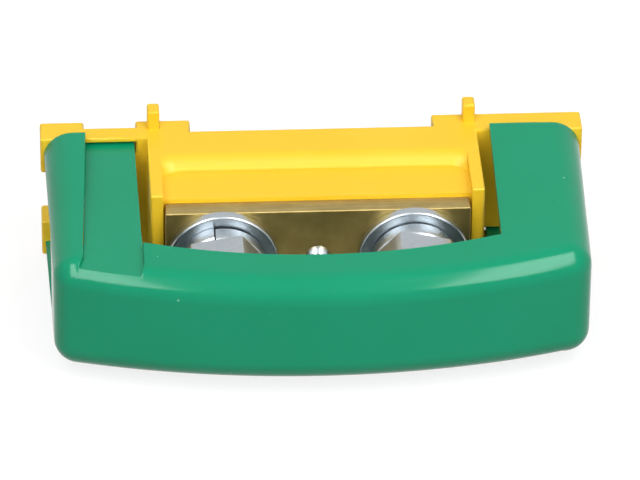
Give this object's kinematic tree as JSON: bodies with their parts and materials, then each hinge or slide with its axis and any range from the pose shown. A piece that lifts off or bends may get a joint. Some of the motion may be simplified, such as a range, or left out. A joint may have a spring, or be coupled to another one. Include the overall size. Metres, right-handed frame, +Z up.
{
  "type": "terminal block",
  "caption": "Rail-mounted protective-earth terminal block: moulded base with a brass busbar and screw clamps for cable lugs, under a bowed clip-fit cover.",
  "frame": {"origin": "middle of the box that encloses the part, on the surface it lies on", "axes": "+X along the block's length, to the right seen from the covered front; -Y out of the front, +Y to the mounting plane at the back; +Z up, along the rail"},
  "size_m": [0.079, 0.0424, 0.0241],
  "materials": {
    "base_plastic": "moulded satin",
    "cover_plastic": "moulded gloss",
    "brass": "rolled and sawn",
    "zinc_steel": "bright zinc plated"
  },
  "bodies": {
    "housing": {"base": "base_plastic", "busbar": "brass", "bar_pin": "zinc_steel", "clamp_nut_left": "zinc_steel", "clamp_nut_right": "zinc_steel"},
    "cover": {"cover": "cover_plastic"},
    "washers_left": {"flat_washer_left": "zinc_steel", "spring_washer_left": "zinc_steel"},
    "washers_right": {"flat_washer_right": "zinc_steel", "spring_washer_right": "zinc_steel"},
    "bolt_left": {"clamp_bolt_left": "zinc_steel"},
    "bolt_right": {"clamp_bolt_right": "zinc_steel"}
  },
  "joints": [
    {"name": "cover_pull", "type": "slide", "parent": "housing", "child": "cover", "axis": [0, -1, 0], "range_m": [0, 0.045]},
    {"name": "washers_left_lift", "type": "slide", "parent": "housing", "child": "washers_left", "axis": [0, -1, 0], "range_m": [0, 0.0013]},
    {"name": "bolt_left_turn", "type": "hinge", "parent": "washers_left", "child": "bolt_left", "pos_m": [-0.01375, -0.0006, 0.0111], "axis": [0, -1, 0], "range_deg": [0, 360]},
    {"name": "washers_right_lift", "type": "slide", "parent": "housing", "child": "washers_right", "axis": [0, -1, 0], "range_m": [0, 0.0013]},
    {"name": "bolt_right_turn", "type": "hinge", "parent": "washers_right", "child": "bolt_right", "pos_m": [0.01375, -0.0006, 0.0111], "axis": [0, -1, 0], "range_deg": [0, 360]}
  ],
  "couplings": [
    {"joint": "washers_left_lift", "follows": "bolt_left_turn", "m_per_rad": 0.00019894},
    {"joint": "washers_right_lift", "follows": "bolt_right_turn", "m_per_rad": 0.00019894}
  ]
}
